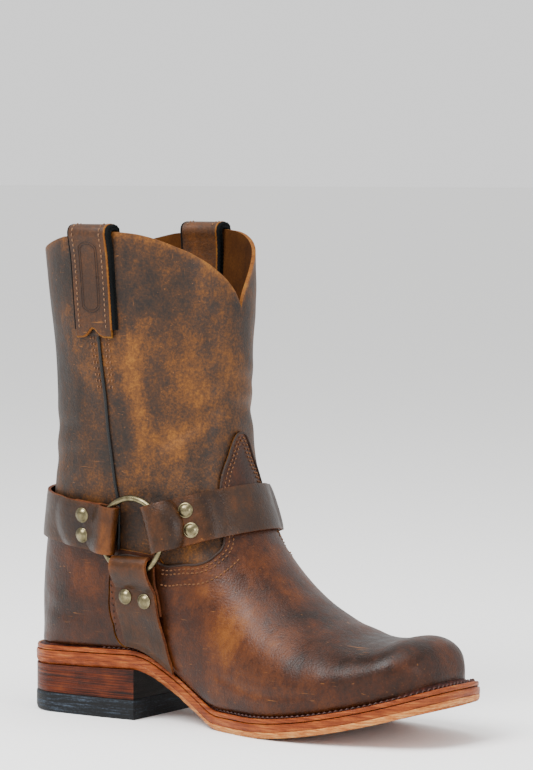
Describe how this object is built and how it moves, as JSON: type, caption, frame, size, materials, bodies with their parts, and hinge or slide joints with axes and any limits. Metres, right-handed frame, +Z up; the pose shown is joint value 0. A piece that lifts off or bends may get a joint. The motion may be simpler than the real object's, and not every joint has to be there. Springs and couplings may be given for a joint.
{
  "type": "harness boot",
  "caption": "Pull-on square-toe leather boot with stacked heel, scalloped collar, pull straps and riveted ring harness straps round the ankle.",
  "frame": {"origin": "on the floor, under the middle of the boot's outer box", "axes": "+X towards the toe, -Y towards the inner (medial) side, +Z up the leg"},
  "size_m": [0.3012, 0.1282, 0.2965],
  "materials": {
    "brown_leather": "waxed pull-up",
    "strap_leather": "waxed smooth",
    "lining_leather": "suede",
    "welt_leather": "burnished edge",
    "sole_leather": "burnished edge",
    "stacked_leather": "stacked, waxed",
    "heel_rubber": "matte",
    "black_cord": "dyed",
    "antique_brass": "antiqued"
  },
  "bodies": {
    "root": {"upper": "brown_leather", "vamp": "brown_leather", "counter": "brown_leather", "pull_strap_inner": "brown_leather", "pull_strap_outer": "brown_leather", "insole": "lining_leather", "welt": "welt_leather", "outsole": "sole_leather", "heel_stack": "stacked_leather", "heel_cap": "heel_rubber", "seam_piping_inner": "black_cord", "seam_piping_outer": "black_cord", "front_strap": "strap_leather", "rear_strap": "strap_leather", "down_strap_inner": "strap_leather", "down_strap_outer": "strap_leather", "ring_inner": "antique_brass", "ring_outer": "antique_brass", "rivet_front_inner_low": "antique_brass", "rivet_front_inner_high": "antique_brass", "rivet_front_outer_low": "antique_brass", "rivet_front_outer_high": "antique_brass", "rivet_rear_inner_low": "antique_brass", "rivet_rear_inner_high": "antique_brass", "rivet_rear_outer_low": "antique_brass", "rivet_rear_outer_high": "antique_brass", "rivet_down_inner_back": "antique_brass", "rivet_down_inner_front": "antique_brass", "rivet_down_outer_back": "antique_brass", "rivet_down_outer_front": "antique_brass"}
  },
  "joints": []
}
